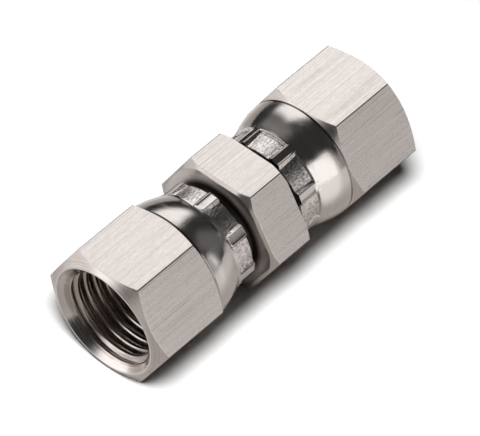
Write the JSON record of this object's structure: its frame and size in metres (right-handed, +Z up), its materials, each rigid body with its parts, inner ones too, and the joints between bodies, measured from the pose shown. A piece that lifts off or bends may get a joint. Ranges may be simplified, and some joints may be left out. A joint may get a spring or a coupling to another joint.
{
  "type": "swivel union",
  "caption": "Straight tube union: a turned body with a middle hexagon and a crimped female swivel nut on each end, stainless steel.",
  "frame": {"origin": "middle of the body's bore, halfway between the two nuts' mouths", "axes": "+X along the bore towards the far nut's mouth, +Z up out of the upper hexagon flats, so that the union lies on its lower flats"},
  "size_m": [0.0476, 0.0196, 0.017],
  "materials": {
    "body_steel": "drawn flats, turned ends",
    "nut_steel": "drawn flats, turned and polished behind"
  },
  "bodies": {
    "union_body": {"union_body": "body_steel"},
    "near_nut": {"near_swivel_nut": "nut_steel"},
    "far_nut": {"far_swivel_nut": "nut_steel"}
  },
  "joints": [
    {"name": "near_nut_swivel", "type": "hinge", "parent": "union_body", "child": "near_nut", "pos_m": [-0.0092, 0, 0], "axis": [1, 0, 0], "continuous": true},
    {"name": "far_nut_swivel", "type": "hinge", "parent": "union_body", "child": "far_nut", "pos_m": [0.0092, 0, 0], "axis": [1, 0, 0], "continuous": true}
  ]
}
